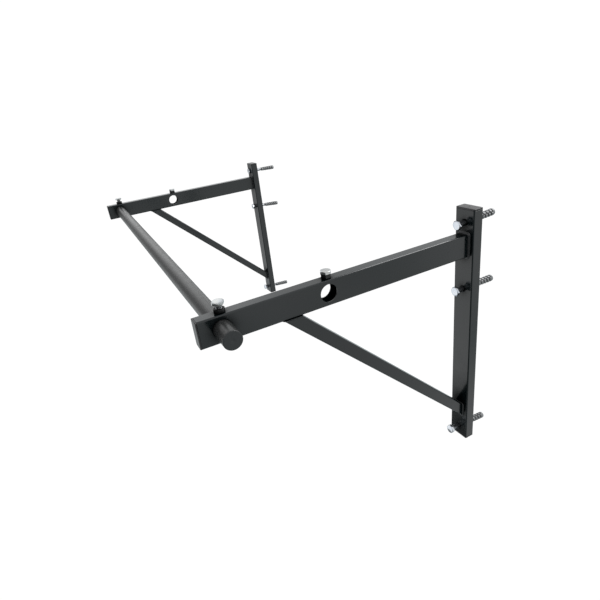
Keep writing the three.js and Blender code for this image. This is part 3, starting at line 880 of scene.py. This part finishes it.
def lag_screw(side, which, centre_x, spin):
    mesh = bmesh.new()
    underside = hex_head(mesh, LAG_HEAD, washer=0.5, dome=0.45)
    seat = add_ring(mesh, 6.7, 0.0)
    stitch(mesh, underside, seat)
    neck = extend(mesh, seat, [(6.25, -0.2)])
    # the smooth shank takes the darker zinc copy, painted shade
    shank = extend(mesh, neck, ((5.96, -0.6), (5.90, -1.2), (5.90, -15.0), (5.90, -30.0),
                                (5.90, -LAG_SHANK)), material=2)
    tip = -LAG_LENGTH
    radius_at = thread(
        crests=[(-LAG_SHANK, 5.90), (tip + 10, 5.90), (tip + 6, 4.7), (tip + 2.5, 3.1),
                (tip, 1.2)],
        roots=[(-LAG_SHANK, 5.89), (-47.5, 4.25), (tip + 10, 4.15), (tip + 6, 3.3),
               (tip + 2.5, 2.1), (tip, 0.8)],
        pitch=LAG_PITCH, crest=0.3, flank=1.25)
    end = helical_rows(mesh, shank, radius_at, -LAG_SHANK, tip, LAG_PITCH, material=1)
    mesh.faces.new(end).material_index = 1
    seat_y = LAG_SET[side][which][0]
    placed(mesh, leaning(side, which, centre_x, seat_y) @ turn("Z", 30 + spin))
    finish_piece(f"{side}_{which}_lag_screw", mesh, [LAG_ZINC, LAG_THREAD_SHADED, LAG_SHANK_ZINC_SHADED],
                 sharp_angle=32)


def barb_depth(turned):
    """Saw-tooth groove over one barb pitch: 0 on the body, 1 in the groove."""
    if turned < 0.42:
        return 0.0
    if turned < 0.50:
        return (turned - 0.42) / 0.08
    if turned < 0.78:
        return 1.0
    return (1.0 - turned) / 0.22


def wall_plug(side, which, centre_x, spin):
    """Ribbed sleeve: saw-tooth barbs out of step in its four quarters, slots between them."""
    length, bore, pitch = 55.0, 6.25, 8.6
    points, rows = 64, 138
    body = [(0.0, 6.9), (-length + 18, 7.9), (-length + 5, 7.9), (-length + 1.6, 7.4),
            (-length, 6.8)]
    loops, grooved = [], []
    for i in range(rows + 1):
        z = -length * i / rows
        full = taper(z, body)
        room = full - bore - 0.36
        # the cuts fade out towards both ends
        fade = min(1.0, max(0.0, (-z - 2.0) / 2.0), max(0.0, (z + length - 4.0) / 2.0))
        loop, deep = [], []
        for k in range(points):
            angle = 2 * math.pi * k / points
            quarter, place = divmod(4 * k / points, 1.0)
            barb = barb_depth((-z / pitch + 0.5 * (quarter % 2) + 0.18 * place) % 1.0)
            to_slot = min(place, 1.0 - place) * points / 4
            slot = 1.0 if to_slot < 0.9 else 0.5 if to_slot < 1.9 else 0.0
            cut = max(barb, slot) * fade
            radius = full - room * cut
            loop.append((radius * math.cos(angle), radius * math.sin(angle), z))
            deep.append(cut > 0.6)
        loops.append(loop)
        grooved.append(deep)
    for z, flare in ((-length, 0.0), (-length + 0.5, 0.0), (-length / 2, 0.0), (-0.6, 0.0),
                     (0.0, 0.25)):
        loops.append(ring(bore + flare, z, points))
    mesh = lofted(loops, closed=True)
    # faces come row by row, the outside first
    for number, face in enumerate(mesh.faces):
        i, j = divmod(number, points)
        k = (j + 1) % points
        # groove faces take the dark nylon copy, painted shade
        if i < rows and (grooved[i][j] or grooved[i + 1][j]
                         or grooved[i][k] or grooved[i + 1][k]):
            face.material_index = 1
    mouth_y = LAG_SET[side][which][1]
    placed(mesh, leaning(side, which, centre_x, mouth_y) @ turn("Z", 20 + spin))
    finish_piece(f"{side}_{which}_wall_plug", mesh, [NYLON, NYLON_GROOVE_SHADE],
                 sharp_angle=38)


def weld_nut(side, which, centre_x):
    """Threaded hexagon nut standing on the arm's top."""
    node = f"{side}_{which}_weld_nut"
    flats, height, mouth = 17.6, 8.0, 7.1
    bore, thread_depth, chamfer = 6.21, 0.6, 0.8
    face = flats / 2 * 0.94
    mesh = bmesh.new()
    rings = loft(mesh, [
        ring(mouth, height, HEX_POINTS), ring(face * 0.985, height, HEX_POINTS),
        ring(face * 1.01, height - 0.05, HEX_POINTS),
        hex_loop(flats, height - 0.02, circle=face),
        hex_loop(flats, height - 0.45, circle=face + 0.05),
        hex_loop(flats, 0.6), hex_loop(flats - 0.6, 0.0),
        ring(mouth, 0.0, HEX_POINTS)], cap_first=False, cap_last=False)

    def radius_at(z, turned):
        flare = max(0.0, 1.0 - (height - z) / chamfer) + max(0.0, 1.0 - z / chamfer)
        radius = bore + 0.6 * flare
        if chamfer < z < height - chamfer:
            radius += thread_depth * (1 - tooth(turned, CLAMP_PITCH, crest=0.16, flank=0.58))
        return radius

    top = add_ring(mesh, 6.85, height - 0.05)
    stitch(mesh, rings[0], top)
    bottom = helical_rows(mesh, top, radius_at, height - 0.05, 0.05, CLAMP_PITCH)
    stitch(mesh, rings[-1], bottom)
    placed(mesh, shift(centre_x, box_middle(node)[1], ARM_TOP + 0.1))
    finish_piece(node, mesh, [NUT], sharp_angle=32)


# ------------------------------------------------------------------ bar
def bar_tube(low, length, radius, axis_y, axis_z):
    bore = radius - BAR_WALL
    # radius, distance along the bar
    profile = [(radius, z) for z in (0.5, length * 0.25, length * 0.5, length * 0.75,
                                     length - 0.5)]
    profile += [
        (radius - 0.15, length - 0.14), (radius - 0.5, length), (bore + 0.35, length),
        (bore, length - 0.35), (bore, 0.35), (bore + 0.35, 0), (radius - 0.5, 0),
        (radius - 0.15, 0.14)]
    mesh = lofted([ring(r, z, BAR_POINTS) for r, z in profile], closed=True)
    placed(mesh, shift(low, axis_y, axis_z) @ turn("Y", 90))
    finish_piece("bar_tube", mesh, [BAR], sharp_angle=40, weighted=True)


def bar_plug(side, radius, axis_y, axis_z):
    """Round end plug: head from local z = 0 up, finned hollow stem below."""
    node = "bar_end_plug_" + side
    low, high = node_box(node)
    head, rim = BAR_PLUG_HEAD, 1.0
    fin = radius - BAR_WALL - 0.3
    stem = fin - 0.9
    # radius, z
    profile = [(0.9, head - 0.25), (1.3, head - 0.22), (1.9, head - 0.05), (6.0, head),
               (12.0, head - 0.03), (radius - 2.6, head - 0.10)]
    rim_steps = 7
    for i in range(1, rim_steps + 1):
        angle = math.pi / 2 * i / rim_steps
        profile.append((radius - rim + rim * math.sin(angle),
                        head - 0.12 - rim + rim * math.cos(angle)))
    profile += [
        (radius, 0.25), (radius - 0.2, 0.0), (stem, 0.0), (stem, -1.8), (fin, -2.4),
        (fin, -3.2), (stem, -3.9), (stem, -6.4), (fin, -7.0), (fin, -7.8), (stem, -8.5),
        (stem, -11.0), (fin, -11.6), (fin, -12.4), (stem, -13.1), (stem, -16.8),
        (fin - 1.7, -18.0), (fin - 2.6, -18.0), (fin - 2.9, -17.6), (fin - 2.9, 0.2)]
    mesh = lofted([ring(r, z, BAR_POINTS) for r, z in profile])
    if side == "right":
        place = shift(high[0] - head, axis_y, axis_z)
    else:
        place = shift(low[0] + head, axis_y, axis_z) @ turn("Z", 180)
    placed(mesh, place @ turn("Y", 90))
    finish_piece(node, mesh, [PLUG], sharp_angle=50)


def bar():
    low, high = node_box("bar_tube")
    radius = (high[1] - low[1]) / 2
    axis_y, axis_z = box_middle("bar_tube")[1:]
    bar_tube(low[0], high[0] - low[0], radius, axis_y, axis_z)
    for side in ("right", "left"):
        bar_plug(side, radius, axis_y, axis_z)


# ------------------------------------------------------------------ assembly
for number, side in enumerate(("right", "left")):
    centre_x = box_middle(side + "_wall_post")[0]
    wall_post(side, centre_x)
    support_arm(side, centre_x)
    diagonal_brace(side, centre_x)
    welds(side, centre_x, first_seed=1 + 3 * number)
    end_caps(side, centre_x)
    for which in ("front", "rear"):
        weld_nut(side, which, centre_x)
        clamp_bolt(side, which, centre_x)
    for k, which in enumerate(LAG_Z):
        lag_screw(side, which, centre_x, spin=60 * ((k + number) % 3))
        wall_plug(side, which, centre_x, spin=25 * k + 40 * number)
bar()

# ------------------------------------------------------------------ stage, in metres
FLOOR_HALF, FLOOR_DROP = 9, 0.32
WHITE, WHITE_STRENGTH = (1.0, 1.0, 1.0, 1.0), 1.04      # what the camera sees behind all
scene = bpy.context.scene


def stage_floor():
    """A lit table: it shows plain white, and the world's light comes up through it."""
    half = FLOOR_HALF
    mesh = bmesh.new()
    mesh.faces.new([mesh.verts.new((x, y, 0.0)) for x, y in (
        (-half, -half), (half, -half), (half, half), (-half, half))])
    floor = to_object(mesh, "floor")
    floor.location = (-0.5, 0.0, cad_low.z - FLOOR_DROP)
    material, nodes = new_material("pale_floor")
    from_camera = nodes.add("LightPath").outputs["Is Camera Ray"]
    from_below = nodes.add("NewGeometry").outputs["Backfacing"]
    glow = nodes.add("Emission", {"Color": WHITE, "Strength": WHITE_STRENGTH}).outputs[0]
    clear = nodes.add("BsdfTransparent").outputs[0]
    upper = nodes.mix_shader(from_camera, clear, glow)
    nodes.add("OutputMaterial", {"Surface": nodes.mix_shader(from_below, upper, clear)})
    floor.data.materials.append(material)


# cards and flags round the table: direction, full within, gone beyond (degrees), level
CARDS = (
    ((0.48, -0.80, -0.36), 24, 42, 0.10),
    ((-0.92, -0.43, 0.09), 9, 24, 0.36),
    ((-0.905, -0.35, -0.21), 4, 11, 0.62),
    ((0.48, 0.55, -0.68), 5, 12.5, 0.95),
    ((0.74, 0.43, -0.515), 6, 13, 0.86),
    ((0.64, 0.72, -0.25), 6, 15, 0.97),
    ((-0.60, -0.66, -0.42), 18, 26, 1.20),
    ((-0.46, -0.50, -0.735), 9, 12.5, 0.10),
    ((0.92, 0.28, -0.25), 9, 15.5, 1.04),
    ((-0.83, 0.05, 0.55), 5, 13, 1.55),
    ((-0.96, 0.22, 0.20), 8, 20, 1.15),
    ((-0.89, 0.15, 0.43), 7, 14, 1.38),
    ((-0.83, 0.44, 0.34), 5, 12, 0.86),
    ((-0.70, 0.63, 0.335), 5, 12, 0.90))


def studio_world():
    """White to the camera; to all else a room, darker below, with cards in it."""
    world = bpy.data.worlds.new("studio")
    scene.world = world
    nodes = Nodes(world)
    output = nodes.add("OutputWorld")
    backdrop = nodes.add("Background", {"Color": WHITE, "Strength": WHITE_STRENGTH})
    room = nodes.add("Background", {"Strength": 1.0})
    direction = nodes.add("TexCoord").outputs["Generated"]
    height = nodes.add("SeparateXYZ", {0: direction}).outputs["Z"]
    light = nodes.patches((0.60, 0.655, 0.665), (1.04, 1.04, 1.05), height,
                          between=(-0.12, 0.12))
    for towards, inner, outer, brightness in CARDS:
        closeness = nodes.dot(direction, Vector(towards).normalized()[:])
        limits = (math.cos(math.radians(outer)), math.cos(math.radians(inner)))
        card = (brightness * 0.985, brightness, brightness * 1.005)
        light = nodes.patches(light, card, closeness, between=limits)
    nodes.fill(room, {"Color": light})
    from_camera = nodes.add("LightPath").outputs["Is Camera Ray"]
    sky = nodes.mix_shader(from_camera, room.outputs[0], backdrop.outputs[0])
    nodes.fill(output, {"Surface": sky})


def softbox(name, location, target, size, power):
    data = bpy.data.lights.new(name, "AREA")
    data.shape = "RECTANGLE"
    data.size, data.size_y = size
    data.energy = power
    lamp = bpy.data.objects.new(name, data)
    scene.collection.objects.link(lamp)
    lamp.location = location
    lamp.rotation_mode = "QUATERNION"
    aim = Vector(target) - Vector(location)
    lamp.rotation_quaternion = aim.to_track_quat("-Z", "Y")
    lamp.visible_camera = False


def place_camera():
    """In front of the product, to its right and above."""
    data = bpy.data.cameras.new("camera")
    camera = bpy.data.objects.new("camera", data)
    scene.collection.objects.link(camera)
    data.sensor_width = 36.0
    data.lens = 27.24
    data.clip_start = 0.02
    data.shift_x = 0.00088333333
    data.shift_y = -0.01675
    # the camera's own axes
    right = Vector((0.46690318, 0.87651052, -0.11717821))
    up = Vector((-0.30723416, 0.28503903, 0.90794269))
    backward = Vector((0.82922168, -0.38792018, 0.4023796))
    rotation = Matrix((right, up, backward)).transposed()
    camera.matrix_world = shift(0.659963, -0.725926, 0.338566) @ rotation.to_4x4()
    scene.camera = camera


stage_floor()
studio_world()
softbox("overhead softbox", location=(0.07, 1.60, 1.75), target=(0.0, -0.10, 0.02),
        size=(1.6, 1.6), power=58.0)
place_camera()

scene.view_settings.view_transform = "Standard"
scene.view_settings.look = "None"
scene.view_settings.exposure = 0.0
scene.view_settings.gamma = 1.0

bpy.context.view_layer.update()
